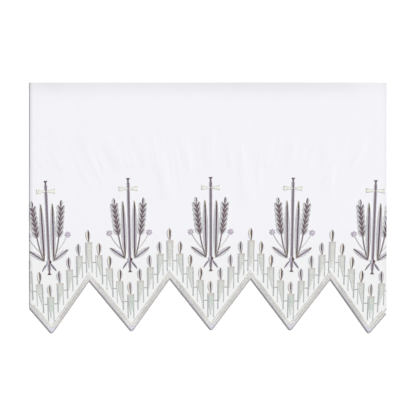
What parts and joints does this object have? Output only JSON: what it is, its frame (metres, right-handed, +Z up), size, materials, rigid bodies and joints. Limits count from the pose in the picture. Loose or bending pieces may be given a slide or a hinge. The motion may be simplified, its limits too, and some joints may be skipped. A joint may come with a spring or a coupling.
{
  "type": "embroidered altar cloth",
  "caption": "Cut length of white altar cloth lying flat, with a satin-stitched zigzag hem, embroidered candles along it and a cross between wheat ears over each point.",
  "frame": {"origin": "on the surface under the cloth, at the middle of its outline", "axes": "+Z up off the surface, +Y towards the cut top edge, -Y towards the points of the hem, +X to the right"},
  "size_m": [0.484, 0.3397, 0.0041],
  "materials": {
    "ground_cloth": "matt plain-woven white cloth",
    "edge_thread": "silky beige-grey satin stitch in two ribs",
    "candle_thread": "silky pale sage satin stitch with grey-taupe outlines",
    "figure_thread": "silky brown-taupe satin stitch with lilac and sage side threads"
  },
  "bodies": {
    "root": {"candle_01": "candle_thread", "candle_02": "candle_thread", "candle_03": "candle_thread", "candle_04": "candle_thread", "candle_05": "candle_thread", "candle_06": "candle_thread", "candle_07": "candle_thread", "candle_08": "candle_thread", "candle_09": "candle_thread", "candle_10": "candle_thread", "candle_11": "candle_thread", "candle_12": "candle_thread", "candle_13": "candle_thread", "candle_14": "candle_thread", "candle_15": "candle_thread", "candle_16": "candle_thread", "candle_17": "candle_thread", "candle_18": "candle_thread", "candle_19": "candle_thread", "candle_20": "candle_thread", "candle_21": "candle_thread", "candle_22": "candle_thread", "candle_23": "candle_thread", "candle_24": "candle_thread", "candle_25": "candle_thread", "candle_26": "candle_thread", "candle_27": "candle_thread", "candle_28": "candle_thread", "candle_29": "candle_thread", "candle_30": "candle_thread", "candle_31": "candle_thread", "candle_32": "candle_thread", "candle_33": "candle_thread", "candle_34": "candle_thread", "candle_35": "candle_thread", "candle_36": "candle_thread", "cross_1": "figure_thread", "cross_2": "figure_thread", "cross_3": "figure_thread", "cross_4": "figure_thread", "cross_5": "figure_thread", "ground_cloth": "ground_cloth", "stitched_edge": "edge_thread", "wheat_left_1": "figure_thread", "wheat_left_2": "figure_thread", "wheat_left_3": "figure_thread", "wheat_left_4": "figure_thread", "wheat_left_5": "figure_thread", "wheat_right_1": "figure_thread", "wheat_right_2": "figure_thread", "wheat_right_3": "figure_thread", "wheat_right_4": "figure_thread", "wheat_right_5": "figure_thread"}
  },
  "joints": []
}
